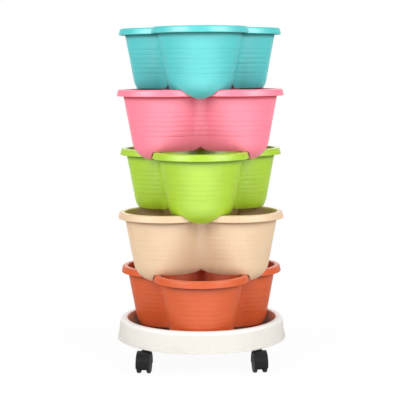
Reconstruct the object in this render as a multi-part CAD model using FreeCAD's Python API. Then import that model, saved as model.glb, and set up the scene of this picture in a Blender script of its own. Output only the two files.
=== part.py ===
import FreeCAD, Part
import math
import os

# Vertical planter tower: five three-lobed pots stacked in a tray on four swivel casters.
# Millimetres, +Z up. The origin is on the floor, on the tower's axis. The front is -Y.

Vector = FreeCAD.Vector
UP = Vector(0, 0, 1)

# Stack of pots
POT_PITCH = 126.8          # height that each pot adds to the stack
NOSE_DROP = 20.0           # how far a pot's noses hang below the rim they lock onto
POT_COLOURS = ["bottom_terracotta", "lower_peach", "middle_green", "upper_pink", "top_teal"]
LOBES = 3

# Pot wall, seen as one lobe turned about its own axis
LOBE_OFFSET = 84.7         # tower axis to lobe axis
WALL_RADIUS = 85.6         # lobe radius of the outer wall, just under the rim
DRAFT = 10.2               # degrees that the wall leans outwards
FOOT_ROUND = 46.0          # rounding between wall and bottom
VALLEY_ROUND = 17.5        # rounding of the fold between two lobes, just under the rim
WALL = 2.5                 # wall and floor thickness
WALL_JOIN = 60.0           # height at which the lower bowl is joined to the upper wall

# Rolled rim
RIM_HEIGHT = 13.8          # crest to lower edge of the rim's skirt
RIM_REACH = 13.6           # skirt's lower edge, outside the wall
RIM_LEAN = 1.6             # the skirt leans out by this much on its way down
RIM_SKIN = 2.4             # thickness of the rim's skirt and crest
CREST_INNER_ROUND = 3.0
CREST_OUTER_ROUND = 5.0

# Seat on the pot below
PAD_HEIGHT = 0.6           # pads lift the floor clear of the rim below
PAD_WIDTH = 4.0
PAD_SPAN = 7.0             # degrees of the rim below that a pad covers
PAD_TURN = 16.0            # degrees along that rim from its fold to the pad
RIM_CLEARANCE = 2.0        # nose's inner wall to the rim below
FOLD_RELIEF = 4.0          # radius of the relief inside each nose, round the fold of the rim below
NOSE_LAND = 0.6            # cut off the lowest point of each nose, as a foot
NOTCH_RISE = 9.0           # arched notch under each fold
NOTCH_HALF_WIDTH = 22.0
NOTCH_START = 50.0         # tower axis to the notch's inner end

# Drain holes in the floor
DRAIN_HOLE = 6.0
DRAIN_RING = 24.0
DRAIN_RING_COUNT = 6
LOBE_DRAIN_RING = 22.0
LOBE_DRAIN_COUNT = 3
LOBE_DRAIN_STEP = 55.0     # degrees from one of these holes to the next

# Tray, from the pots in its well outwards
TRAY_TUCK = 13.3           # from the lobes' reach under their rims, in to the ring's inner wall
TRAY_WELL_LEAN = 6.0       # the inner wall comes in by this much on its way down to the floor
TRAY_RING_WIDTH = 17.0     # inner wall to outer wall at the top
TRAY_SKIRT_LEAN = 3.4      # the outer wall goes out by this much on its way down
TRAY_LIP_REACH = 2.6       # lip beyond the outer wall
TRAY_LIP_BAND = 4.0
TRAY_LIP_STEP = 1.2        # height over which the outer wall runs out to the lip
TRAY_HEIGHT = 43.5
TRAY_CREST_ROUND = 9.0
TRAY_INNER_ROUND = 4.0
TRAY_WELL_ROUND = 6.0
TRAY_FLOOR_RISE = 1.6      # floor's top above the lip's lower edge
TRAY_WALL = 2.5

# Caster sockets under the tray
CASTER_INSET = 1.5         # stem axis, inwards from the middle of the ring
SOCKET_WALL = 2.25
SOCKET_END_GAP = 4.0       # above the peg
SOCKET_RIB = 2.0

# Casters
WHEEL_RADIUS = 20.0
WHEEL_WIDTH = 8.4
WHEEL_GAP = 13.4           # between the two wheels
WHEEL_EDGE_ROUND = 1.8
WHEEL_DOME = 1.2           # how far the outer face bulges
WHEEL_RECESS_DEPTH = 4.0
WHEEL_RIM = 3.2
WHEEL_HUB_RADIUS = 6.0
TRAIL = 16.5               # stem axis to axle
AXLE_RADIUS = 2.5
AXLE_END = 3.0             # axle's end to the wheel's outer face
RUNNING_CLEARANCE = 0.06   # radial, between a shaft and what turns on it
SIDE_CLEARANCE = 0.4       # between wheel and hood
HOOD_GAP = 2.6             # tread to the hood's inside
HOOD_SKIN = 2.8
HOOD_FRONT = -13.0         # degrees above the horizon where the hood ends, away from the stem
HOOD_REAR = 190.0
WEB_RADIUS = 17.5
WEB_FLOOR_GAP = 9.0        # floor of the room to the hood's centre web
HOOD_BOSS_RADIUS = 7.5
HOOD_BOSS_RISE = 0.9       # boss above the top of the fender
STEM_RADIUS = 4.0          # part of the stem inside the hood
STEM_DEPTH = 22.0          # how far the stem reaches into the hood
STEM_END_GAP = 1.0         # under the stem, in the hood's bore
STEM_CHAMFER = 1.0
COLLAR_RADIUS = 7.0
COLLAR_HEIGHT = 2.2
COLLAR_GAP = 0.3
PEG_RADIUS = 5.5           # part of the stem inside the socket
PEG_LENGTH = 28.0
RING_GROOVE = 0.9          # depth of the groove that holds the grip ring
RING_LENGTH = 16.0
RING_INSET = 4.0           # peg's shoulders above and below the groove
RING_SLOT = 1.6
PEG_FIT = 0.25             # peg to socket, taken up by the grip ring

# Name, stem's bearing from the tower axis and bearing in which the wheels trail, in degrees
CASTERS = [
    ("front_left", 225.0, 263.0),
    ("front_right", 315.0, 277.0),
    ("rear_left", 135.0, 118.0),
    ("rear_right", 45.0, 71.0),
]

OVERCUT = 1.0              # how far a cutting shape runs past the face that it opens

HALF_TURN = 180.0 / LOBES  # from a lobe to the fold beside it, and from each pot to the next
POT_HEIGHT = POT_PITCH + NOSE_DROP
RIM_UNDER = POT_HEIGHT - RIM_HEIGHT
RIM_RADIUS = WALL_RADIUS + RIM_REACH
SHOULDER_RADIUS = RIM_RADIUS - RIM_LEAN
SEAT_HEIGHT = NOSE_DROP + PAD_HEIGHT
FOLD_REACH = WALL_RADIUS + VALLEY_ROUND
HALF_LOBE_SPACING = LOBE_OFFSET * math.sin(math.radians(HALF_TURN))
VALLEY_OFFSET = (LOBE_OFFSET * math.cos(math.radians(HALF_TURN))
                 + math.sqrt(FOLD_REACH ** 2 - HALF_LOBE_SPACING ** 2))
# Half of the angle through which a lobe's wall turns before the fold takes over
LOBE_HALF_ANGLE = math.degrees(math.atan2(
    VALLEY_OFFSET * math.sin(math.radians(HALF_TURN)),
    VALLEY_OFFSET * math.cos(math.radians(HALF_TURN)) - LOBE_OFFSET))
VALLEY_HALF_ANGLE = LOBE_HALF_ANGLE - HALF_TURN

TRAY_INNER_RADIUS = LOBE_OFFSET + WALL_RADIUS - TRAY_TUCK
TRAY_WELL_RADIUS = TRAY_INNER_RADIUS - TRAY_WELL_LEAN
TRAY_CREST_RADIUS = TRAY_INNER_RADIUS + TRAY_RING_WIDTH
TRAY_SKIRT_RADIUS = TRAY_CREST_RADIUS + TRAY_SKIRT_LEAN
TRAY_LIP_RADIUS = TRAY_SKIRT_RADIUS + TRAY_LIP_REACH
CASTER_RADIUS = TRAY_INNER_RADIUS + TRAY_RING_WIDTH / 2 - CASTER_INSET
SOCKET_OUTER_RADIUS = PEG_RADIUS + PEG_FIT + SOCKET_WALL
SOCKET_DEPTH = PEG_LENGTH + SOCKET_END_GAP

# Heights above the floor of the room, each one resting on the one before
HOOD_TOP = 2 * WHEEL_RADIUS + HOOD_GAP + HOOD_SKIN + HOOD_BOSS_RISE
TRAY_LIP_HEIGHT = HOOD_TOP + COLLAR_GAP + COLLAR_HEIGHT
TRAY_FLOOR = TRAY_LIP_HEIGHT + TRAY_FLOOR_RISE
FIRST_POT = TRAY_FLOOR - NOSE_LAND


def polar(radius, degrees, z=0.0):
    """A point at a bearing about the Z axis."""
    a = math.radians(degrees)
    return Vector(radius * math.cos(a), radius * math.sin(a), z)


def arc_middle(centre, radius, start, end):
    """The point half way round an arc in an (r, z) section; angles in degrees."""
    a = math.radians((start + end) / 2)
    return (centre[0] + radius * math.cos(a), centre[1] + radius * math.sin(a))


def section(start, steps):
    """A closed face in the XZ plane. A step is a point, or a pair (middle, end) for an arc."""
    edges = []
    here = start
    for step in steps + [start]:
        if isinstance(step[0], tuple):
            middle, end = step
            points = [Vector(p[0], 0, p[1]) for p in (here, middle, end)]
            edges.append(Part.Arc(*points).toShape())
            here = end
        else:
            if math.dist(here, step) > 1e-6:
                edges.append(Part.makeLine(Vector(here[0], 0, here[1]), Vector(step[0], 0, step[1])))
            here = step
    return Part.Face(Part.Wire(edges))


def turned(face, start=0.0, sweep=360.0, centre=Vector(0, 0, 0)):
    """The solid that an (r, z) section sweeps about a vertical axis through centre."""
    face = face.copy()
    face.rotate(Vector(0, 0, 0), UP, start)
    face.translate(centre)
    return face.revolve(centre, UP, sweep)


def joined(shapes):
    """One solid from shapes that meet or overlap."""
    whole = shapes[0].fuse(shapes[1:]) if len(shapes) > 1 else shapes[0]
    return whole.removeSplitter()


def lobe_bearings(turn=0.0):
    """Bearings of the three lobes; an unturned pot has one lobe at the front."""
    return [270.0 + turn + 360.0 / LOBES * i for i in range(LOBES)]


def wall_point(z, inset=0.0):
    """Radius of a lobe's outer wall at height z, less an inset square to it."""
    slope = math.tan(math.radians(DRAFT))
    return WALL_RADIUS - (RIM_UNDER - z) * slope - inset / math.cos(math.radians(DRAFT))


def foot(inset=0.0):
    """Centre of the bottom rounding and the point where it runs into the wall."""
    d = math.radians(DRAFT)
    run = (RIM_UNDER - FOOT_ROUND + FOOT_ROUND * math.sin(d)) / math.cos(d)
    centre = (WALL_RADIUS - run * math.sin(d) - FOOT_ROUND * math.cos(d), FOOT_ROUND)
    radius = FOOT_ROUND - inset
    end = (centre[0] + radius * math.cos(d), centre[1] - radius * math.sin(d))
    return centre, radius, end


def trefoil_bowl(inset, top):
    """The pot's closed form up to a height, drawn in by inset from its outside."""
    centre, radius, end = foot(inset)
    middle = arc_middle(centre, radius, -90.0, -DRAFT)
    lobe = section((0, inset), [
        (centre[0], inset),
        (middle, end),
        (wall_point(top, inset), top),
        (0, top)])
    fold = section((0, inset), [
        (FOLD_REACH - centre[0], inset),
        ((FOLD_REACH - middle[0], middle[1]), (FOLD_REACH - end[0], end[1])),
        (FOLD_REACH - wall_point(top, inset), top),
        (0, top)])
    corners = []
    for bearing in lobe_bearings():
        corners += [polar(LOBE_OFFSET, bearing, inset), polar(VALLEY_OFFSET, bearing + HALF_TURN, inset)]
    core = Part.Face(Part.makePolygon(corners + corners[:1])).extrude(Vector(0, 0, top - inset))
    pieces = []
    for bearing in lobe_bearings():
        core = core.cut(turned(fold, 0.0, 360.0, polar(VALLEY_OFFSET, bearing + HALF_TURN)))
        pieces.append(turned(lobe, bearing - LOBE_HALF_ANGLE, 2 * LOBE_HALF_ANGLE,
                             polar(LOBE_OFFSET, bearing)))
    return joined([core] + pieces)


def crest_land():
    """Inner and outer radius of the rim's flat top, where the pot above sits."""
    start = wall_point(POT_HEIGHT - CREST_INNER_ROUND, WALL) + CREST_INNER_ROUND
    return start, SHOULDER_RADIUS - CREST_OUTER_ROUND


def rim_and_wall():
    """The upper wall and the rolled rim, as one section turned about lobes and folds."""
    top = POT_HEIGHT
    land_start, land_end = crest_land()
    inner = (land_start - CREST_INNER_ROUND, top - CREST_INNER_ROUND)
    shoulder = (SHOULDER_RADIUS, top - CREST_OUTER_ROUND)
    inside_round = CREST_OUTER_ROUND - RIM_SKIN
    outline = [
        (wall_point(WALL_JOIN, WALL), WALL_JOIN),
        inner,
        (arc_middle((land_start, inner[1]), CREST_INNER_ROUND, 180.0, 90.0), (land_start, top)),
        (land_end, top),
        (arc_middle((land_end, shoulder[1]), CREST_OUTER_ROUND, 90.0, 0.0), shoulder),
        (RIM_RADIUS, RIM_UNDER),
        (RIM_RADIUS - RIM_SKIN, RIM_UNDER),
        (shoulder[0] - RIM_SKIN, shoulder[1]),
        (arc_middle((land_end, shoulder[1]), inside_round, 0.0, 90.0), (land_end, top - RIM_SKIN)),
        (wall_point(top - RIM_SKIN), top - RIM_SKIN),
        (wall_point(WALL_JOIN), WALL_JOIN)]
    mirrored = []
    for step in outline:
        if isinstance(step[0], tuple):
            mirrored.append(tuple((FOLD_REACH - p[0], p[1]) for p in step))
        else:
            mirrored.append((FOLD_REACH - step[0], step[1]))
    lobe = section(outline[0], outline[1:])
    fold = section(mirrored[0], mirrored[1:])
    pieces = []
    for bearing in lobe_bearings():
        pieces.append(turned(lobe, bearing - LOBE_HALF_ANGLE, 2 * LOBE_HALF_ANGLE,
                             polar(LOBE_OFFSET, bearing)))
        towards_axis = bearing + HALF_TURN + 180.0
        pieces.append(turned(fold, towards_axis - VALLEY_HALF_ANGLE, 2 * VALLEY_HALF_ANGLE,
                             polar(VALLEY_OFFSET, bearing + HALF_TURN)))
    return pieces


def seat_room(growth):
    """The space that the rim of the pot below needs, turned half a lobe from this pot."""
    skirt = RIM_RADIUS + RIM_CLEARANCE
    shoulder = SHOULDER_RADIUS + RIM_CLEARANCE
    shoulder_z = NOSE_DROP - CREST_OUTER_ROUND
    bend = SEAT_HEIGHT - shoulder_z
    centre = (shoulder - bend, shoulder_z)
    base = -OVERCUT
    ceiling = SEAT_HEIGHT + growth
    profile = section((0, base), [
        (skirt + growth, base),
        (skirt + growth, NOSE_DROP - RIM_HEIGHT),
        (shoulder + growth, shoulder_z),
        (arc_middle(centre, bend + growth, 0.0, 90.0), (centre[0], ceiling)),
        (0, ceiling)])
    fold_edge = VALLEY_OFFSET - (FOLD_REACH - skirt)
    shapes = []
    for bearing in lobe_bearings(HALF_TURN):
        shapes.append(turned(profile, 0.0, 360.0, polar(LOBE_OFFSET, bearing)))
        shapes.append(Part.makeCylinder(FOLD_RELIEF + growth, ceiling - base,
                                        polar(fold_edge - FOLD_RELIEF, bearing + HALF_TURN, base)))
    return joined(shapes)


def fold_notches(growth):
    """Arched notches that run out under the three folds."""
    half = NOTCH_HALF_WIDTH + growth
    rise = NOTCH_RISE + growth
    bow = (half ** 2 + rise ** 2) / (2 * rise)
    sag = bow - math.sqrt(bow ** 2 - (half / 2) ** 2)
    base = SEAT_HEIGHT - OVERCUT
    start = NOTCH_START - growth
    peak = (0.0, SEAT_HEIGHT + rise)
    shapes = []
    for bearing in lobe_bearings(HALF_TURN):
        profile = section((-half, base), [
            (-half, SEAT_HEIGHT),
            ((-half / 2, SEAT_HEIGHT + sag), peak),
            ((half / 2, SEAT_HEIGHT + sag), (half, SEAT_HEIGHT)),
            (half, base)])
        notch = profile.extrude(Vector(0, VALLEY_OFFSET - start, 0))
        notch.translate(Vector(0, start, 0))
        notch.rotate(Vector(0, 0, 0), UP, bearing - 90.0)
        shapes.append(notch)
    return shapes


def seat_pads():
    """Small pads under the floor that sit on the rim below, two to a lobe."""
    crest = sum(crest_land()) / 2
    corner = math.degrees(math.asin(HALF_LOBE_SPACING / crest))
    block = section((crest - PAD_WIDTH / 2, NOSE_DROP), [
        (crest + PAD_WIDTH / 2, NOSE_DROP),
        (crest + PAD_WIDTH / 2, SEAT_HEIGHT + WALL / 2),
        (crest - PAD_WIDTH / 2, SEAT_HEIGHT + WALL / 2)])
    pads = []
    for bearing in lobe_bearings():
        for side in (-1, 1):
            from_lobe = bearing - side * (corner - PAD_TURN)
            pads.append(turned(block, from_lobe - PAD_SPAN / 2, PAD_SPAN,
                               polar(LOBE_OFFSET, bearing + side * HALF_TURN)))
    return pads


def drain_holes():
    """Holes through the floor, all of them above the inside of the pot below."""
    places = [Vector(0, 0, 0)]
    places += [polar(DRAIN_RING, 360.0 / DRAIN_RING_COUNT * i) for i in range(DRAIN_RING_COUNT)]
    for bearing in lobe_bearings():
        for i in range(LOBE_DRAIN_COUNT):
            turn = bearing + 180.0 + LOBE_DRAIN_STEP * (i - (LOBE_DRAIN_COUNT - 1) / 2)
            places.append(polar(LOBE_OFFSET, bearing) + polar(LOBE_DRAIN_RING, turn))
    return [Part.makeCylinder(DRAIN_HOLE / 2, SEAT_HEIGHT + 2 * WALL, place) for place in places]


def pot():
    """One pot with a lobe at the front, its noses' lowest level at z = 0 before the feet are cut."""
    outside = trefoil_bowl(0.0, WALL_JOIN)
    inside = trefoil_bowl(WALL, WALL_JOIN)
    outside = outside.cut([seat_room(0.0)] + fold_notches(0.0))
    inside = inside.cut([seat_room(WALL)] + fold_notches(WALL))
    bowl = outside.cut(inside)
    whole = joined([bowl] + rim_and_wall() + seat_pads())
    feet = Part.makeCylinder(2 * TRAY_LIP_RADIUS, NOSE_LAND + OVERCUT, Vector(0, 0, -OVERCUT))
    return whole.cut([feet] + drain_holes()).removeSplitter()


def tray():
    """The round tray: a raised well inside a hollow ring that carries the caster sockets."""
    lip = TRAY_LIP_HEIGHT
    top = lip + TRAY_HEIGHT
    crest_centre = (TRAY_CREST_RADIUS - TRAY_CREST_ROUND, top - TRAY_CREST_ROUND)
    inner_centre = (TRAY_INNER_RADIUS + TRAY_INNER_ROUND, top - TRAY_INNER_ROUND)
    well = (TRAY_WELL_RADIUS, TRAY_FLOOR + TRAY_WELL_ROUND)
    well_centre = (TRAY_WELL_RADIUS - TRAY_WELL_ROUND, well[1])
    band = lip + TRAY_LIP_BAND
    band_shoulder = band + TRAY_LIP_STEP
    under = TRAY_FLOOR - TRAY_WALL
    outer_round = TRAY_CREST_ROUND - TRAY_WALL
    # The ring's underside has plain corners, which the sockets and ribs can meet cleanly
    profile = section((0, under), [
        (well_centre[0], under),
        (arc_middle(well_centre, TRAY_WELL_ROUND + TRAY_WALL, -90.0, 0.0),
         (TRAY_WELL_RADIUS + TRAY_WALL, well[1])),
        (TRAY_INNER_RADIUS + TRAY_WALL, inner_centre[1]),
        (TRAY_INNER_RADIUS + TRAY_WALL, top - TRAY_WALL),
        (crest_centre[0], top - TRAY_WALL),
        arc_middle(crest_centre, outer_round, 90.0, 0.0),
        (TRAY_CREST_RADIUS - TRAY_WALL, crest_centre[1]),
        (TRAY_SKIRT_RADIUS - TRAY_WALL, band),
        (TRAY_LIP_RADIUS - TRAY_WALL, lip),
        (TRAY_LIP_RADIUS, lip),
        (TRAY_LIP_RADIUS, band),
        (TRAY_SKIRT_RADIUS, band_shoulder),
        (TRAY_CREST_RADIUS, crest_centre[1]),
        (arc_middle(crest_centre, TRAY_CREST_ROUND, 0.0, 90.0), (crest_centre[0], top)),
        (inner_centre[0], top),
        (arc_middle(inner_centre, TRAY_INNER_ROUND, 90.0, 180.0), (TRAY_INNER_RADIUS, inner_centre[1])),
        well,
        (arc_middle(well_centre, TRAY_WELL_ROUND, 0.0, -90.0), (well_centre[0], TRAY_FLOOR)),
        (0, TRAY_FLOOR)])
    shell = turned(profile)
    # A thin copy of the hollow under the ring trims sockets and ribs to it
    hollow = turned(section((TRAY_WELL_RADIUS + TRAY_WALL, lip), [
        (TRAY_WELL_RADIUS + TRAY_WALL / 2, well[1]),
        (TRAY_INNER_RADIUS + TRAY_WALL / 2, inner_centre[1]),
        (TRAY_INNER_RADIUS + TRAY_WALL / 2, top - TRAY_WALL / 2),
        (crest_centre[0], top - TRAY_WALL / 2),
        (TRAY_CREST_RADIUS - TRAY_WALL / 2, crest_centre[1] + TRAY_WALL),
        (TRAY_SKIRT_RADIUS - TRAY_WALL / 2, band),
        (TRAY_LIP_RADIUS - TRAY_WALL, lip)]))
    additions = []
    bores = []
    for bearing in [caster[1] for caster in CASTERS]:
        place = polar(CASTER_RADIUS, bearing, lip)
        socket = Part.makeCylinder(SOCKET_OUTER_RADIUS, TRAY_HEIGHT, place)
        rib = Part.makeBox(TRAY_LIP_RADIUS, SOCKET_RIB, TRAY_HEIGHT, Vector(0, -SOCKET_RIB / 2, lip))
        rib.rotate(Vector(0, 0, 0), UP, bearing)
        cross = Part.makeBox(SOCKET_RIB, 4 * SOCKET_OUTER_RADIUS, TRAY_HEIGHT,
                             Vector(CASTER_RADIUS - SOCKET_RIB / 2, -2 * SOCKET_OUTER_RADIUS, lip))
        cross.rotate(Vector(0, 0, 0), UP, bearing)
        additions.append(joined([socket, rib, cross]).common(hollow))
        bores.append(Part.makeCylinder(PEG_RADIUS + PEG_FIT, SOCKET_DEPTH, place))
    return joined([shell] + additions).cut(bores).removeSplitter()


def caster_frame(shape, bearing, trail):
    """Places a piece drawn with its stem on the Z axis and its wheels towards +X."""
    shape.rotate(Vector(0, 0, 0), UP, trail)
    shape.translate(polar(CASTER_RADIUS, bearing))
    return shape


def stem():
    """The fixed stem: peg with a groove for its grip ring, collar and lower shaft."""
    foot_z = HOOD_TOP - STEM_DEPTH
    collar_top = TRAY_LIP_HEIGHT
    peg_top = TRAY_LIP_HEIGHT + PEG_LENGTH
    groove = PEG_RADIUS - RING_GROOVE
    groove_start = TRAY_LIP_HEIGHT + RING_INSET
    groove_end = groove_start + RING_LENGTH
    profile = section((0, foot_z), [
        (STEM_RADIUS - STEM_CHAMFER, foot_z),
        (STEM_RADIUS, foot_z + STEM_CHAMFER),
        (STEM_RADIUS, HOOD_TOP + COLLAR_GAP),
        (COLLAR_RADIUS, HOOD_TOP + COLLAR_GAP),
        (COLLAR_RADIUS, collar_top),
        (PEG_RADIUS, collar_top),
        (PEG_RADIUS, groove_start),
        (groove, groove_start),
        (groove, groove_end),
        (PEG_RADIUS, groove_end),
        (PEG_RADIUS, peg_top - STEM_CHAMFER),
        (PEG_RADIUS - STEM_CHAMFER, peg_top),
        (0, peg_top)])
    return turned(profile)


def grip_ring():
    """A split sleeve in the stem's groove that grips the socket."""
    start = TRAY_LIP_HEIGHT + RING_INSET
    inner = PEG_RADIUS - RING_GROOVE
    outer = PEG_RADIUS + PEG_FIT
    sleeve = Part.makeCylinder(outer, RING_LENGTH, Vector(0, 0, start))
    sleeve = sleeve.cut(Part.makeCylinder(inner, RING_LENGTH, Vector(0, 0, start)))
    slot = Part.makeBox(2 * outer, RING_SLOT, RING_LENGTH, Vector(0, -RING_SLOT / 2, start))
    return sleeve.cut(slot)


def across(shape):
    """Turns a shape made about the Z axis so that it lies about the axle."""
    shape.rotate(Vector(0, 0, 0), Vector(1, 0, 0), -90.0)
    shape.translate(Vector(TRAIL, 0, WHEEL_RADIUS))
    return shape


def hood():
    """The swivelling hood: centre web between the wheels, fender over them, boss for the stem."""
    web_width = WHEEL_GAP - 2 * SIDE_CLEARANCE
    inner = WHEEL_RADIUS + HOOD_GAP
    outer = inner + HOOD_SKIN
    half_width = WHEEL_GAP / 2 + WHEEL_WIDTH - WHEEL_DOME
    web = across(Part.makeCylinder(WEB_RADIUS, web_width, Vector(0, 0, -web_width / 2)))
    ring = Part.makeCylinder(outer, 2 * half_width, Vector(0, 0, -half_width))
    ring = across(ring.cut(Part.makeCylinder(inner, 2 * half_width, Vector(0, 0, -half_width))))
    # The fender spans the angles from HOOD_FRONT to HOOD_REAR about the axle
    reach = 2 * outer
    wedge_points = [Vector(TRAIL, 0, WHEEL_RADIUS)]
    steps = 6
    for i in range(steps + 1):
        a = math.radians(HOOD_FRONT + (HOOD_REAR - HOOD_FRONT) * i / steps)
        wedge_points.append(Vector(TRAIL + reach * math.cos(a), 0, WHEEL_RADIUS + reach * math.sin(a)))
    wedge = Part.Face(Part.makePolygon(wedge_points + wedge_points[:1])).extrude(Vector(0, 2 * reach, 0))
    wedge.translate(Vector(0, -reach, 0))
    fender = ring.common(wedge)
    spine = across(Part.makeCylinder((inner + outer) / 2, web_width, Vector(0, 0, -web_width / 2)))
    spine = spine.common(wedge)
    boss_floor = WHEEL_RADIUS + math.sqrt(inner ** 2 - (TRAIL - HOOD_BOSS_RADIUS) ** 2)
    boss = Part.makeCylinder(HOOD_BOSS_RADIUS, HOOD_TOP - boss_floor, Vector(0, 0, boss_floor))
    neck = Part.makeBox(HOOD_BOSS_RADIUS + TRAIL, web_width, HOOD_TOP - WHEEL_RADIUS - HOOD_SKIN,
                        Vector(-HOOD_BOSS_RADIUS, -web_width / 2, WHEEL_RADIUS))
    neck = neck.common(Part.makeCylinder(HOOD_BOSS_RADIUS, HOOD_TOP, Vector(0, 0, 0)))
    body = joined([web, fender, spine, boss, neck])
    below = Part.makeBox(4 * reach, 4 * reach, WEB_FLOOR_GAP, Vector(-2 * reach, -2 * reach, 0))
    bore_depth = STEM_DEPTH + STEM_END_GAP
    bore = Part.makeCylinder(STEM_RADIUS + RUNNING_CLEARANCE, bore_depth, Vector(0, 0, HOOD_TOP - bore_depth))
    axle_bore = across(Part.makeCylinder(AXLE_RADIUS, 2 * half_width, Vector(0, 0, -half_width)))
    return body.cut([below, bore, axle_bore]).removeSplitter()


def axle():
    """The axle, pressed into the hood's web."""
    half = WHEEL_GAP / 2 + WHEEL_WIDTH - AXLE_END
    return across(Part.makeCylinder(AXLE_RADIUS, 2 * half, Vector(0, 0, -half)))


def wheel(side):
    """One wheel: tread, web with a recess on its inner face, hub, outer face domed to a flat."""
    near = WHEEL_GAP / 2
    far = near + WHEEL_WIDTH
    edge = WHEEL_EDGE_ROUND
    bore = AXLE_RADIUS + RUNNING_CLEARANCE
    bore_end = far - AXLE_END + SIDE_CLEARANCE
    dome_start = (WHEEL_RADIUS - edge, far - WHEEL_DOME)
    flat = AXLE_RADIUS
    dome_centre = (far + dome_start[1] - (dome_start[0] ** 2 - flat ** 2) / WHEEL_DOME) / 2
    dome_radius = math.hypot(flat, far - dome_centre)
    half_way = (dome_start[0] + flat) / 2
    dome_middle = (half_way, dome_centre + math.sqrt(dome_radius ** 2 - half_way ** 2))
    profile = section((bore, near), [
        (WHEEL_HUB_RADIUS, near),
        (WHEEL_HUB_RADIUS, near + WHEEL_RECESS_DEPTH),
        (WHEEL_RADIUS - WHEEL_RIM, near + WHEEL_RECESS_DEPTH),
        (WHEEL_RADIUS - WHEEL_RIM, near),
        (WHEEL_RADIUS - edge / 2, near),
        (WHEEL_RADIUS, near + edge / 2),
        (WHEEL_RADIUS, far - WHEEL_DOME - edge),
        (arc_middle((WHEEL_RADIUS - edge, far - WHEEL_DOME - edge), edge, 0.0, 90.0), dome_start),
        (dome_middle, (flat, far)),
        (0.0, far),
        (0.0, bore_end),
        (bore, bore_end)])
    body = turned(profile)
    if side < 0:
        body = body.mirror(Vector(0, 0, 0), Vector(0, 0, 1))
    return across(body)


def save(shape, name):
    """Writes one sub-part and reports its solids and size."""
    solids = shape.Solids
    shape = solids[0] if len(solids) == 1 else Part.makeCompound(solids)
    shape.exportStep("parts/" + name + ".step")
    box = shape.optimalBoundingBox(False)
    print("%-34s solids %d valid %s volume %9.1f  x %7.1f %7.1f  y %7.1f %7.1f  z %7.1f %7.1f" % (
        name, len(solids), shape.isValid(), shape.Volume,
        box.XMin, box.XMax, box.YMin, box.YMax, box.ZMin, box.ZMax))


def main():
    os.makedirs("parts", exist_ok=True)
    save(tray(), "rolling_tray")
    one_pot = pot()
    for level, colour in enumerate(POT_COLOURS):
        shape = one_pot.copy()
        shape.rotate(Vector(0, 0, 0), UP, HALF_TURN * (level % 2))
        shape.translate(Vector(0, 0, FIRST_POT + level * POT_PITCH))
        save(shape, "pot_" + colour)
    for name, bearing, trail in CASTERS:
        prefix = "caster_" + name
        pieces = [
            ("stem", stem()),
            ("grip_ring", grip_ring()),
            ("hood", hood()),
            ("axle", axle()),
            ("wheel_left", wheel(1)),
            ("wheel_right", wheel(-1))]
        for piece, shape in pieces:
            save(caster_frame(shape, bearing, trail), prefix + "_" + piece)


main()
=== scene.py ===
import math

import bmesh
import bpy
import numpy as np
from mathutils import Matrix, Vector


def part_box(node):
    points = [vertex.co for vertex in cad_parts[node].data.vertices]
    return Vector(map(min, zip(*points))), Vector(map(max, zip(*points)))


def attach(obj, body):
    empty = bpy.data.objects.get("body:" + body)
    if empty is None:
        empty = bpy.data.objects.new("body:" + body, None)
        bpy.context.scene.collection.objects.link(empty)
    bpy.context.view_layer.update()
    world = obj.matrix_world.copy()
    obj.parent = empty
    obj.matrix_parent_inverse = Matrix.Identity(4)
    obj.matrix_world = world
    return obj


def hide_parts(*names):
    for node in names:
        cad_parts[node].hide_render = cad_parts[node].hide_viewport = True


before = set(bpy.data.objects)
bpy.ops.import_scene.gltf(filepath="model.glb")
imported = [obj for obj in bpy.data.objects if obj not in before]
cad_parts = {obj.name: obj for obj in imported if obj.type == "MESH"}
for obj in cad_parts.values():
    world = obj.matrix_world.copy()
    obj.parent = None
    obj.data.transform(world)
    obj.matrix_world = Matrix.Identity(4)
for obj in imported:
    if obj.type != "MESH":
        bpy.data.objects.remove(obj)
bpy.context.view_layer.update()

# Vertical planter tower: five three-lobed pots in a round tray on swivel casters.
# Metres, +Z up, front towards -Y. Pot heights are measured from a pot's own base.

NOSE_LAND = 0.0006
POT_HEIGHT = 0.1468
LOBES = 3
LOBE_OFFSET = 0.0847
WALL_RADIUS = 0.0856
DRAFT = math.radians(10.2)
VALLEY_ROUND = 0.0175
WALL = 0.0025
RIM_HEIGHT = 0.0138
RIM_RADIUS = 0.0992
RIM_LEAN = 0.0016
RIM_SKIN = 0.0024
CREST_INNER_ROUND = 0.003
CREST_OUTER_ROUND = 0.005
HEM_ROUND = 0.0007
# The skirt bends slightly this high above its hem and this far below its shoulder
HEM_BLEND = 0.0022
HEM_STEP = 0.0002
SHOULDER_BLEND = 0.0016
SHOULDER_STEP = 0.0003
CREST_LAP = 0.0005         # flat part of the crest's underside, beyond its rounding

# Below the splice a pot keeps the shape of its solid: noses, floor, pads and drain holes
SPLICE_HEIGHT = 0.040
WALL_START = SPLICE_HEIGHT + 0.001
CUT_TOLERANCE = 1e-6
MERGE_BEFORE_CUT = 2e-6
MERGE_AFTER_CUT = 4e-6

# How finely a pot is divided: round a lobe and a fold, and along its profile
LOBE_STEPS = 84
FOLD_STEPS = 22
UPPER_WALL_ROWS = 9
INNER_WALL_ROWS = 14
HOLLOW_STEPS = 6
HEM_STEPS = 4
SHOULDER_STEPS = 10
CREST_STEPS = 7
SMOOTH_DEGREES = 32

# Grooves round a pot's wall, from the highest down
GROOVE_COUNT = 6
GROOVE_TOP = 0.101
GROOVE_SPACING = 0.00985
GROOVE_LIP = 0.0005
GROOVE_FADE = 0.0036
GROOVE_WANDER = 14.0       # scale of the noise that varies a groove's depth
GROOVE_LEAST = 0.65        # least share of its depth that a groove keeps
GROOVE_SHIFT = 0.37        # from one groove to the next, in the noise
POT_SHIFT = 0.31           # from one pot to the next

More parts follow.
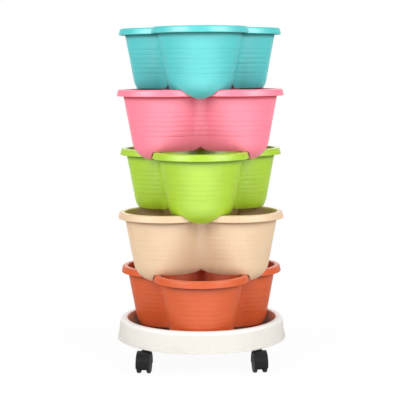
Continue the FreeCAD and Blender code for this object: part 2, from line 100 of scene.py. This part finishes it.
HALF_TURN = math.radians(60)    # from a lobe to the fold beside it
RIM_UNDER = POT_HEIGHT - RIM_HEIGHT
FOLD_REACH = WALL_RADIUS + VALLEY_ROUND
HALF_LOBE_SPACING = LOBE_OFFSET * math.sin(HALF_TURN)
VALLEY_OFFSET = (LOBE_OFFSET * math.cos(HALF_TURN)
                 + math.sqrt(FOLD_REACH ** 2 - HALF_LOBE_SPACING ** 2))
LOBE_HALF_ANGLE = math.atan2(VALLEY_OFFSET * math.sin(HALF_TURN),
                             VALLEY_OFFSET * math.cos(HALF_TURN) - LOBE_OFFSET)
VALLEY_HALF_ANGLE = LOBE_HALF_ANGLE - HALF_TURN

# Pot, material slot, colour as linear light, how strongly its surface mirrors, and groove depth
POTS = [
    ("pot_bottom_terracotta", "pot_terracotta", (0.655, 0.109, 0.027), 0.55, 0.00024),
    ("pot_lower_peach", "pot_peach", (0.755, 0.540, 0.343), 0.85, 0.00014),
    ("pot_middle_green", "pot_green", (0.395, 0.630, 0.022), 1.00, 0.00024),
    ("pot_upper_pink", "pot_pink", (0.930, 0.216, 0.305), 0.90, 0.00036),
    ("pot_top_teal", "pot_teal", (0.082, 0.555, 0.557), 1.00, 0.00042),
]
TRAY_CREAM = (0.735, 0.708, 0.650)
# Painted light: the tray's upward-facing crest is painted paler and cooler, standing in for more
# light from above and less red light from the pots
TRAY_CREST_PAINTED_LIGHT = (0.820, 0.830, 0.805, 1.0)
PAINTED_LIGHT_BAND = 0.008         # the tray is paler this far down from its top
PAINTED_LIGHT_TURN = 0.006         # height over which it turns paler
HOOD_BLACK = (0.016, 0.015, 0.016)
WHEEL_BLACK = (0.012, 0.011, 0.012)
STEEL_GREY = (0.560, 0.570, 0.580)

# Wear on a pot: a chafed crest and dust low down; and painted shade: a darker line painted under
# the rim, where the rim's shadow falls
CHAFED_HIGH = 0.0002
CHAFED_LOW = 0.0016
CHAFED_SHARE = 0.16
CHAFED_WHITE = (0.95, 0.93, 0.90, 1.0)
DUST_HEIGHT = 0.034
DUST_SHARE = 0.10
# Painted shade under the rim: how far down it reaches, how much of it shows, how dark it is, and
# the roughness it adds
UNDER_RIM_SHADE_REACH = 0.0095
UNDER_RIM_SHADE_SHARE = 0.90
UNDER_RIM_SHADE_TONE = 0.65
UNDER_RIM_SHADE_ROUGHNESS = 0.55

# Camera: the photograph's viewpoint, a little to the left of the tower's axis
CAMERA_PLACE = (-0.0018, -2.558, 0.6225)
CAMERA_DIP = 6.28
CAMERA_ROLL = -0.35
FOCAL_PIXELS = 1210.6
FRAME_PIXELS = 400
SENSOR_WIDTH = 36.0

# Studio: lamp, azimuth and elevation in degrees from the front and the level, size and watts
LAMPS = [
    ("front_right", 45, 28, 1.6, 49.0),
    ("front_left", -45, 28, 1.6, 49.0),
    ("right", 70, 20, 1.4, 11.0),
    ("left", -70, 20, 1.4, 11.0),
    ("back", 180, 35, 1.6, 26.0),
]
LAMP_DISTANCE = 3.0
TOWER_MIDDLE = (0.0, 0.0, 0.40)
WORLD_LEVEL = 0.37
ROOM_LEVEL = 0.40          # what mirrored rays see in front, above the floor
SIDE_FALL = 0.92           # how much darker the sides are for mirrored rays
FLOOR_REACH = 30.0
FLOOR_PAPER = (0.90, 0.90, 0.90, 1.0)
FLOOR_GLOW = 0.95          # share of plain white in the floor near the tower
FLOOR_MIRRORED = 0.9       # the same for mirrored rays


class Value:
    """A node's output, so that shader and geometry maths is written with Python's operators."""

    def __init__(self, graph, socket):
        self.graph = graph
        self.socket = socket

    def maths(self, operation, *others):
        values = {0: self}
        values.update({i + 1: other for i, other in enumerate(others)})
        return self.graph.add("ShaderNodeMath", {"operation": operation}, values)

    def __add__(self, other):
        return self.maths("ADD", other)

    __radd__ = __add__

    def __sub__(self, other):
        return self.maths("SUBTRACT", other)

    def __rsub__(self, other):
        return self.maths("MULTIPLY", -1.0).maths("ADD", other)

    def __mul__(self, other):
        return self.maths("MULTIPLY", other)

    __rmul__ = __mul__

    def __truediv__(self, other):
        return self.maths("DIVIDE", other)

    def __abs__(self):
        return self.maths("ABSOLUTE")

    def part(self, axis):
        """One component of a vector."""
        return self.graph.add("ShaderNodeSeparateXYZ", {}, {0: self}, axis)

    def ramp(self, low, high):
        """0 below low and 1 above high, with a smooth turn between them."""
        return self.graph.add(
            "ShaderNodeMapRange", {"interpolation_type": "SMOOTHSTEP"},
            {"Value": self, "From Min": low, "From Max": high})


class Graph:
    """Adds nodes to one node tree."""

    def __init__(self, tree):
        self.tree = tree

    def add(self, kind, settings, sockets, output=0):
        """A new node: its settings are set first, then its sockets get a value or a link."""
        node = self.tree.nodes.new(kind)
        for name, value in settings.items():
            setattr(node, name, value)
        for key, value in sockets.items():
            if isinstance(value, Value):
                self.tree.links.new(value.socket, node.inputs[key])
            else:
                node.inputs[key].default_value = value
        return Value(self, node.outputs[output]) if node.outputs else None

    def noise(self, place, scale, detail=2.0, output=0):
        return self.add("ShaderNodeTexNoise", {},
                        {"Vector": place, "Scale": scale, "Detail": detail}, output)

    def mix(self, share, first, second):
        """Blends two colours."""
        return self.add("ShaderNodeMix", {"data_type": "RGBA"}, {0: share, 6: first, 7: second}, 2)

    def stretched(self, place, scale):
        """A place with each axis scaled by its own amount."""
        return self.add("ShaderNodeVectorMath", {"operation": "MULTIPLY"}, {0: place, 1: scale})


def tinted(colour, gain):
    """A colour made lighter or darker, as the four numbers that a socket takes."""
    return tuple(min(1.0, c * gain) for c in colour) + (1.0,)


def new_material(name):
    material = bpy.data.materials.new(name)
    material.use_nodes = True
    material.node_tree.nodes.clear()
    return material, Graph(material.node_tree)


def finish_material(graph, surface):
    graph.add("ShaderNodeOutputMaterial", {}, {"Surface": surface})


def moulded_plastic(name, colour, roughness, mirror=0.5, grain=0.00002, pot_base=None,
                    painted_light_above=None):
    """Satin injection-moulded plastic: soft clouding, flow streaks and fine grain.

    A pot, whose base is given, also has its wear and a painted shade under its rim. Above a given
    height the colour is painted paler, as painted light on the tray's crest.
    """
    material, graph = new_material(name)
    place = graph.add("ShaderNodeTexCoord", {}, {}, 3)
    height = place.part(2)
    clouds = graph.noise(place, 11.0, 3.0)
    streaks = graph.noise(graph.stretched(place, (1.0, 1.0, 0.12)), 120.0, 3.0)
    sheen = graph.noise(place, 34.0, 2.0)
    specks = graph.noise(place, 1500.0, 1.0)
    rough = sheen * 0.10 + specks * 0.08 + (roughness - 0.09)
    shade = clouds * 0.75 + streaks * 0.25
    tone = graph.mix(shade.ramp(0.30, 0.70), tinted(colour, 0.965), tinted(colour, 1.025))
    if pot_base is not None:
        top = pot_base + POT_HEIGHT
        crest = height.ramp(top - CHAFED_LOW, top - CHAFED_HIGH)
        chafed = crest * graph.noise(place, 260.0).ramp(0.35, 0.75)
        tone = graph.mix(chafed * CHAFED_SHARE, tone, CHAFED_WHITE)
        dusty = (1.0 - height.ramp(pot_base, pot_base + DUST_HEIGHT)) * clouds.ramp(0.25, 0.8)
        tone = graph.mix(dusty * DUST_SHARE, tone, tinted(colour, 0.80))
        # The outward directions are kept on the outer wall only, and are nothing elsewhere
        outward = graph.add("ShaderNodeAttribute", {"attribute_name": "outward"}, {}, 1)
        outer_wall = graph.add("ShaderNodeVectorMath", {"operation": "LENGTH"}, {0: outward}, 1)
        # Painted shade: the outer wall is painted darker, more saturated and rougher just under the
        # rim, where the rim's shadow falls
        under_rim = top - RIM_HEIGHT
        painted_rim_shade = height.ramp(under_rim - UNDER_RIM_SHADE_REACH, under_rim) * outer_wall
        tone = graph.mix(painted_rim_shade * UNDER_RIM_SHADE_SHARE, tone, tinted([c * c for c in colour], UNDER_RIM_SHADE_TONE))
        rough = rough + painted_rim_shade * UNDER_RIM_SHADE_ROUGHNESS
    # Painted light: above the given height the colour is painted paler
    if painted_light_above is not None:
        painted_light = height.ramp(painted_light_above, painted_light_above + PAINTED_LIGHT_TURN)
        tone = graph.mix(painted_light, tone, TRAY_CREST_PAINTED_LIGHT)
    waves = graph.add("ShaderNodeBump", {}, {"Strength": 0.35, "Distance": 0.0006, "Height": sheen})
    skin = graph.add("ShaderNodeBump", {},
                     {"Strength": 0.5, "Distance": grain, "Height": specks, "Normal": waves})
    finish_material(graph, graph.add(
        "ShaderNodeBsdfPrincipled", {},
        {"Base Color": tone, "Roughness": rough, "Normal": skin, "Specular IOR Level": mirror}))
    return material


def plated_steel(name):
    """Zinc-plated steel with fine drawn lines round the shaft."""
    material, graph = new_material(name)
    place = graph.add("ShaderNodeTexCoord", {}, {}, 3)
    lines = graph.noise(graph.stretched(place, (60.0, 60.0, 2400.0)), 1.0, 3.0)
    bloom = graph.noise(place, 240.0, 3.0)
    tone = graph.mix(bloom.ramp(0.3, 0.7), tinted(STEEL_GREY, 0.86), tinted(STEEL_GREY, 1.10))
    rough = lines * 0.16 + bloom * 0.12 + 0.20
    bump = graph.add("ShaderNodeBump", {}, {"Strength": 0.3, "Distance": 0.00002, "Height": lines})
    finish_material(graph, graph.add(
        "ShaderNodeBsdfPrincipled", {},
        {"Base Color": tone, "Roughness": rough, "Normal": bump, "Metallic": 1.0}))
    return material


def groove_tree():
    """Geometry nodes that press evenly spaced shallow grooves into a pot's wall.

    Each groove has a steep lip above and fades out slowly below.
    """
    tree = bpy.data.node_groups.new("wall_grooves", "GeometryNodeTree")
    tree.interface.new_socket("Geometry", in_out="OUTPUT", socket_type="NodeSocketGeometry")
    tree.interface.new_socket("Geometry", in_out="INPUT", socket_type="NodeSocketGeometry")
    for name in ("Spacing", "Lip", "Fade", "Depth", "Highest", "Count", "Base Height"):
        tree.interface.new_socket(name, in_out="INPUT", socket_type="NodeSocketFloat")
    tree.interface.new_socket("Seed", in_out="INPUT", socket_type="NodeSocketFloat")
    tree.interface.new_socket("Finish", in_out="INPUT", socket_type="NodeSocketMaterial")
    graph = Graph(tree)
    given = tree.nodes.new("NodeGroupInput")
    value = {socket.name: Value(graph, socket) for socket in given.outputs if socket.name}
    place = graph.add("GeometryNodeInputPosition", {}, {})
    step = (value["Highest"] + value["Base Height"] - place.part(2)) / value["Spacing"]
    number = step.maths("ROUND")
    below = (step - number) * value["Spacing"]
    lip = (below / value["Lip"]).ramp(-1.0, 0.0)
    pressed = lip * (1.0 - (below / value["Fade"]).ramp(0.0, 1.0))
    within = number.maths("GREATER_THAN", -0.5) * number.maths("LESS_THAN", value["Count"] - 0.5)
    # Each groove is a little deeper in some places than in others
    wander = graph.add("ShaderNodeCombineXYZ", {}, {
        0: place.part(0), 1: place.part(1), 2: number * GROOVE_SHIFT + value["Seed"]})
    unevenness = graph.noise(wander, GROOVE_WANDER, 1.0).ramp(0.25, 0.75)
    depth = unevenness * (1.0 - GROOVE_LEAST) + GROOVE_LEAST
    outward = graph.add("GeometryNodeInputNamedAttribute", {"data_type": "FLOAT_VECTOR"},
                        {"Name": "outward"})
    push = pressed * within * depth * value["Depth"] * -1.0
    offset = graph.add("ShaderNodeVectorMath", {"operation": "SCALE"}, {0: outward, "Scale": push})
    moved = graph.add("GeometryNodeSetPosition", {},
                      {"Geometry": value["Geometry"], "Offset": offset})
    real = graph.add("GeometryNodeRealizeInstances", {}, {"Geometry": moved})
    dressed = graph.add("GeometryNodeSetMaterial", {},
                        {"Geometry": real, "Material": value["Finish"]})
    result = tree.nodes.new("NodeGroupOutput")
    tree.links.new(dressed.socket, result.inputs[0])
    return tree


def made_plain(piece, tree, inputs):
    """Runs a geometry tree on a piece and keeps the result as an ordinary mesh."""
    modifier = piece.modifiers.new("maker", "NODES")
    modifier.node_group = tree
    for socket in tree.interface.items_tree:
        if socket.in_out == "INPUT" and socket.name in inputs:
            modifier[socket.identifier] = inputs[socket.name]
    evaluated = piece.evaluated_get(bpy.context.evaluated_depsgraph_get())
    mesh = bpy.data.meshes.new_from_object(evaluated)
    piece.modifiers.clear()
    piece.data = mesh
    return piece


def wall_radius(height, inset=0.0):
    """Radius of a lobe's outer wall, less an inset square to it."""
    return WALL_RADIUS - (RIM_UNDER - height) * math.tan(DRAFT) - inset / math.cos(DRAFT)


def bearing_vector(angle):
    return np.array((math.cos(angle), math.sin(angle)))


def outline_stations():
    """Base points and outward directions round a pot that has one lobe at the front."""
    starts, ways = [], []
    for lobe in range(LOBES):
        bearing = math.radians(270 + 120 * lobe)
        for step in range(LOBE_STEPS):
            angle = bearing + LOBE_HALF_ANGLE * (2 * step / LOBE_STEPS - 1)
            starts.append(LOBE_OFFSET * bearing_vector(bearing))
            ways.append(bearing_vector(angle))
        fold = bearing + HALF_TURN
        for step in range(FOLD_STEPS):
            angle = fold + math.pi + VALLEY_HALF_ANGLE * (1 - 2 * step / FOLD_STEPS)
            way = -bearing_vector(angle)
            starts.append(VALLEY_OFFSET * bearing_vector(fold) - FOLD_REACH * way)
            ways.append(way)
    return np.array(starts), np.array(ways)


def arc(centre, radius, start, end, steps):
    """Points of an (r, z) arc after its first one; angles in degrees."""
    points = []
    for i in range(1, steps + 1):
        angle = math.radians(start + (end - start) * i / steps)
        points.append((centre[0] + radius * math.cos(angle), centre[1] + radius * math.sin(angle)))
    return points


def wall_heights():
    """Row heights of the outer wall, close together at each groove."""
    heights = [WALL_START]
    close = [-GROOVE_FADE * share for share in (1.05, 0.8, 0.6, 0.4, 0.2, 0.08)]
    close += [GROOVE_LIP * share for share in (0, 0.25, 0.5, 0.75, 1.0)]
    for number in reversed(range(GROOVE_COUNT)):
        middle = GROOVE_TOP - number * GROOVE_SPACING
        heights += [middle - GROOVE_SPACING / 2] + [middle + offset for offset in close]
    last = heights[-1]
    top = POT_HEIGHT - RIM_SKIN
    heights += [last + (top - last) * (i + 1) / UPPER_WALL_ROWS for i in range(UPPER_WALL_ROWS)]
    return heights


def upper_profile():
    """Outer wall, rolled rim and inner wall as (r, z) points, and how many are the outer wall's."""
    top = POT_HEIGHT
    inner = wall_radius(top - CREST_INNER_ROUND, WALL)
    land_start = inner + CREST_INNER_ROUND
    shoulder_radius = RIM_RADIUS - RIM_LEAN
    shoulder = top - CREST_OUTER_ROUND
    land_end = shoulder_radius - CREST_OUTER_ROUND
    points = [(wall_radius(z), z) for z in wall_heights()]
    outer_wall_rows = len(points)
    points.append((land_end - CREST_LAP, top - RIM_SKIN))
    points += arc((land_end, shoulder), CREST_OUTER_ROUND - RIM_SKIN, 90.0, 0.0, HOLLOW_STEPS)
    hem_in = (RIM_RADIUS - RIM_SKIN + HEM_ROUND, RIM_UNDER + HEM_ROUND)
    hem_out = (RIM_RADIUS - HEM_ROUND, RIM_UNDER + HEM_ROUND)
    points.append((RIM_RADIUS - RIM_SKIN - HEM_STEP, RIM_UNDER + HEM_BLEND))
    points.append((RIM_RADIUS - RIM_SKIN, RIM_UNDER + HEM_ROUND))
    points += arc(hem_in, HEM_ROUND, 180.0, 270.0, HEM_STEPS)
    points += arc(hem_out, HEM_ROUND, 270.0, 360.0, HEM_STEPS)
    points.append((RIM_RADIUS - HEM_STEP, RIM_UNDER + HEM_BLEND))
    points.append((shoulder_radius + SHOULDER_STEP, shoulder - SHOULDER_BLEND))
    points += arc((land_end, shoulder), CREST_OUTER_ROUND, 0.0, 90.0, SHOULDER_STEPS)
    points.append(((land_start + land_end) / 2, top))
    points.append((land_start, top))
    high = top - CREST_INNER_ROUND
    points += arc((land_start, high), CREST_INNER_ROUND, 90.0, 180.0, CREST_STEPS)
    for i in range(1, INNER_WALL_ROWS + 1):
        z = high + (WALL_START - high) * i / INNER_WALL_ROWS
        points.append((wall_radius(z, WALL), z))
    return points, outer_wall_rows


def solid_foot(node, base):
    """Corners and triangles of the lower part of a pot's solid, brought down to base 0."""
    work = bmesh.new()
    work.from_mesh(node.data)
    bmesh.ops.remove_doubles(work, verts=work.verts, dist=MERGE_BEFORE_CUT)
    bmesh.ops.translate(work, verts=work.verts, vec=(0, 0, -base))
    bmesh.ops.bisect_plane(work, geom=work.verts[:] + work.edges[:] + work.faces[:],
                           dist=CUT_TOLERANCE, plane_co=(0, 0, SPLICE_HEIGHT), plane_no=(0, 0, 1),
                           clear_outer=True)
    bmesh.ops.remove_doubles(work, verts=work.verts, dist=MERGE_AFTER_CUT)
    work.verts.index_update()
    corners = np.array([v.co for v in work.verts])
    faces = [[v.index for v in f.verts] for f in work.faces]
    open_corners = sorted({v.index for e in work.edges if e.is_boundary for v in e.verts})
    work.free()
    return corners, faces, open_corners


def zipped(first, second, corners):
    """Triangles between two rings of corners, both ordered by their bearing about the axis."""
    def by_bearing(ring):
        bearings = [math.atan2(corners[i][1], corners[i][0]) for i in ring]
        order = sorted(range(len(ring)), key=lambda k: bearings[k])
        return [ring[k] for k in order], [bearings[k] for k in order]

    a, a_bearings = by_bearing(first)
    b, b_bearings = by_bearing(second)
    a_bearings.append(a_bearings[0] + 2 * math.pi)
    b_bearings.append(b_bearings[0] + 2 * math.pi)
    faces = []
    i = j = 0
    while i < len(a) or j < len(b):
        take_first = j == len(b) or (i < len(a) and a_bearings[i + 1] <= b_bearings[j + 1])
        here_a, here_b = a[i % len(a)], b[j % len(b)]
        if take_first:
            faces.append([here_a, a[(i + 1) % len(a)], here_b])
            i += 1
        else:
            faces.append([here_a, b[(j + 1) % len(b)], here_b])
            j += 1
    return faces


def pot_form(node, base):
    """One pot at base 0 with a lobe at the front: corners, faces and outward directions."""
    foot, foot_faces, open_corners = solid_foot(node, base)
    starts, ways = outline_stations()
    profile, wall_rows = upper_profile()
    rings = []
    for radius, height in profile:
        flat = starts + ways * radius
        rings.append(np.column_stack([flat, np.full(len(flat), height)]))
    count = len(starts)
    shift = len(foot)
    corners = np.vstack([foot] + rings)
    faces = list(foot_faces)
    for row in range(len(profile) - 1):
        low = shift + row * count
        for i in range(count):
            j = (i + 1) % count
            faces.append([low + i, low + j, low + count + j, low + count + i])
    # The rings where the foot was cut lie outside and inside the middle of the wall
    middle = starts + ways * wall_radius(SPLICE_HEIGHT, WALL / 2)
    outer, inner = [], []
    for i in open_corners:
        gaps = middle - foot[i][:2]
        k = int(np.argmin((gaps ** 2).sum(1)))
        (inner if gaps[k] @ ways[k] > 0 else outer).append(i)
    faces += zipped(outer, list(range(shift, shift + count)), corners)
    last = shift + (len(profile) - 1) * count
    faces += zipped(inner, list(range(last, last + count)), corners)
    outward = np.zeros_like(corners)
    for row in range(wall_rows):
        low = shift + row * count
        outward[low:low + count, :2] = ways
    return corners, faces, outward


def pot_mesh(name, corners, faces, outward, turn, base):
    """A pot's mesh in its place in the tower."""
    mesh = bpy.data.meshes.new(name)
    mesh.from_pydata(corners.tolist(), [], faces)
    attribute = mesh.attributes.new("outward", "FLOAT_VECTOR", "POINT")
    spin = Matrix.Rotation(turn, 3, "Z")
    turned_ways = outward @ np.array(spin).T
    attribute.data.foreach_set("vector", turned_ways.astype(np.float32).ravel())
    mesh.transform(Matrix.Translation((0, 0, base)) @ spin.to_4x4())
    work = bmesh.new()
    work.from_mesh(mesh)
    bmesh.ops.recalc_face_normals(work, faces=work.faces)
    work.to_mesh(mesh)
    work.free()
    return mesh


def smooth_by_angle(mesh, degrees):
    mesh.polygons.foreach_set("use_smooth", [True] * len(mesh.polygons))
    mesh.set_sharp_from_angle(angle=math.radians(degrees))


def dress_pots():
    tree = groove_tree()
    first_name = POTS[0][0]
    first_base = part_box(first_name)[0].z - NOSE_LAND
    corners, faces, outward = pot_form(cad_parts[first_name], first_base)
    for level, (node, slot, colour, mirror, depth) in enumerate(POTS):
        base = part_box(node)[0].z - NOSE_LAND
        turn = math.radians(60 * (level % 2))
        finish = moulded_plastic(slot + "_plastic", colour, 0.40, mirror, pot_base=base)
        mesh = pot_mesh(node + "_form", corners, faces, outward, turn, base)
        piece = bpy.data.objects.new(node + "_moulding", mesh)
        bpy.context.scene.collection.objects.link(piece)
        made_plain(piece, tree, {
            "Spacing": GROOVE_SPACING, "Lip": GROOVE_LIP, "Fade": GROOVE_FADE, "Depth": depth,
            "Highest": GROOVE_TOP, "Count": float(GROOVE_COUNT), "Base Height": base,
            "Seed": POT_SHIFT * level, "Finish": finish})
        smooth_by_angle(piece.data, SMOOTH_DEGREES)
        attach(piece, node)
        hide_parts(node)


def dress_solid(node, material):
    """Gives a solid of the frame its finish."""
    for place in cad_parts[node].material_slots:
        place.material = material


def dress_tray_and_casters():
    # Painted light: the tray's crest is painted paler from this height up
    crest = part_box("rolling_tray")[1].z - PAINTED_LIGHT_BAND
    dress_solid("rolling_tray", moulded_plastic("tray_plastic", TRAY_CREAM, 0.42, painted_light_above=crest))
    hood = moulded_plastic("hood_plastic", HOOD_BLACK, 0.36, mirror=0.13, grain=0.00004)
    wheel = moulded_plastic("wheel_plastic", WHEEL_BLACK, 0.44, mirror=0.35, grain=0.00003)
    steel = plated_steel("zinc_plate")
    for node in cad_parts:
        if node.endswith("_hood"):
            dress_solid(node, hood)
        elif "_wheel_" in node:
            dress_solid(node, wheel)
        elif node.startswith("caster_"):
            dress_solid(node, steel)


def add_camera():
    """The photograph's viewpoint, looking a little down."""
    data = bpy.data.cameras.new("camera")
    data.sensor_width = SENSOR_WIDTH
    data.lens = FOCAL_PIXELS / FRAME_PIXELS * SENSOR_WIDTH
    camera = bpy.data.objects.new("camera", data)
    bpy.context.scene.collection.objects.link(camera)
    pitch = math.radians(90 - CAMERA_DIP)
    roll = math.radians(CAMERA_ROLL)
    camera.matrix_world = (Matrix.Translation(CAMERA_PLACE)
                           @ Matrix.Rotation(pitch, 4, "X") @ Matrix.Rotation(roll, 4, "Z"))
    bpy.context.scene.camera = camera


def add_area_light(name, place, target, size, watts, depth=None):
    """A soft round light, or a rectangular one where a depth is given."""
    data = bpy.data.lights.new(name, "AREA")
    data.shape = "RECTANGLE" if depth else "DISK"
    data.size = size
    data.size_y = depth or size
    data.energy = watts
    light = bpy.data.objects.new(name, data)
    bpy.context.scene.collection.objects.link(light)
    light.location = place
    aim = Vector(target) - Vector(place)
    light.rotation_euler = aim.to_track_quat("-Z", "Y").to_euler()
    return light


def add_lamp(name, azimuth, elevation, size, watts):
    """A soft round lamp that shines on the tower's middle."""
    around, up = math.radians(azimuth), math.radians(elevation)
    aim = Vector((math.cos(up) * math.sin(around), -math.cos(up) * math.cos(around), math.sin(up)))
    middle = Vector(TOWER_MIDDLE)
    add_area_light(name, middle + LAMP_DISTANCE * aim, middle, size, watts)


def add_sheen():
    """A panel on the floor in front that shows in mirrored rays only."""
    sheen = add_area_light("sheen", (0.0, -1.35, 0.016), (0.0, -1.35, 1.0), 2.6, 12.0, 1.6)
    sheen.visible_diffuse = False


def seen_rays(graph):
    """1 on rays straight from the camera, on mirrored ones, and on those through glass."""
    rays = graph.tree.nodes.new("ShaderNodeLightPath")
    return [Value(graph, rays.outputs[name]) for name in
            ("Is Camera Ray", "Is Glossy Ray", "Is Transmission Ray")]


def side_dim(way):
    """1 in front and behind, falling towards the sides, where the studio is dark."""
    return 1.0 - abs(way.part(0)).ramp(0.30, 0.95) * SIDE_FALL


def grey(graph, level):
    return graph.mix(level, (0.0, 0.0, 0.0, 1.0), (1.0, 1.0, 1.0, 1.0))


def add_world():
    """Even light all round; straight rays see white, and mirrored ones a room with a white back."""
    world = bpy.data.worlds.new("studio")
    world.use_nodes = True
    world.node_tree.nodes.clear()
    bpy.context.scene.world = world
    graph = Graph(world.node_tree)
    camera_ray, glossy_ray, transmission_ray = seen_rays(graph)
    white = camera_ray.maths("MAXIMUM", transmission_ray)
    way = graph.add("ShaderNodeTexCoord", {}, {}, 0)
    lighting = (1.0 - white.maths("MAXIMUM", glossy_ray)) * WORLD_LEVEL
    backdrop = way.part(1).ramp(-0.1, 0.4) * (1.0 - ROOM_LEVEL) + ROOM_LEVEL
    level = white + glossy_ray * (1.0 - white) * backdrop * side_dim(way) + lighting
    sky = graph.add("ShaderNodeBackground", {}, {"Color": grey(graph, level)})
    graph.add("ShaderNodeOutputWorld", {}, {"Surface": sky})


def add_floor():
    """White paper that keeps some of the tower's shadow and turns plain white further out."""
    mesh = bpy.data.meshes.new("floor")
    sides = (-FLOOR_REACH, FLOOR_REACH)
    mesh.from_pydata([(x, y, 0) for x in sides for y in sides], [], [[0, 2, 3, 1]])
    floor = bpy.data.objects.new("floor", mesh)
    bpy.context.scene.collection.objects.link(floor)
    material, graph = new_material("floor_white")
    place = graph.add("ShaderNodeTexCoord", {}, {}, 3)
    distance = graph.add("ShaderNodeVectorMath", {"operation": "LENGTH"}, {0: place}, 1)
    far = distance.ramp(0.25, 0.9)
    way = graph.add("ShaderNodeVectorMath", {"operation": "NORMALIZE"}, {0: place})
    camera_ray, glossy_ray, transmission_ray = seen_rays(graph)
    paper = graph.add("ShaderNodeBsdfDiffuse", {}, {"Color": FLOOR_PAPER})
    level = 1.0 - glossy_ray * (1.0 - side_dim(way))
    glow = graph.add("ShaderNodeEmission", {}, {"Color": grey(graph, level), "Strength": 1.0})
    share = camera_ray * (far * (1.0 - FLOOR_GLOW) + FLOOR_GLOW)
    mirrored = glossy_ray.maths("MAXIMUM", transmission_ray)
    share = share.maths("MAXIMUM", mirrored * FLOOR_MIRRORED)
    finish_material(graph, graph.add("ShaderNodeMixShader", {}, {0: share, 1: paper, 2: glow}))
    mesh.materials.append(material)


add_camera()
add_world()
add_floor()
for lamp in LAMPS:
    add_lamp(*lamp)
add_sheen()
dress_pots()
dress_tray_and_casters()
bpy.context.scene.view_settings.view_transform = "Standard"
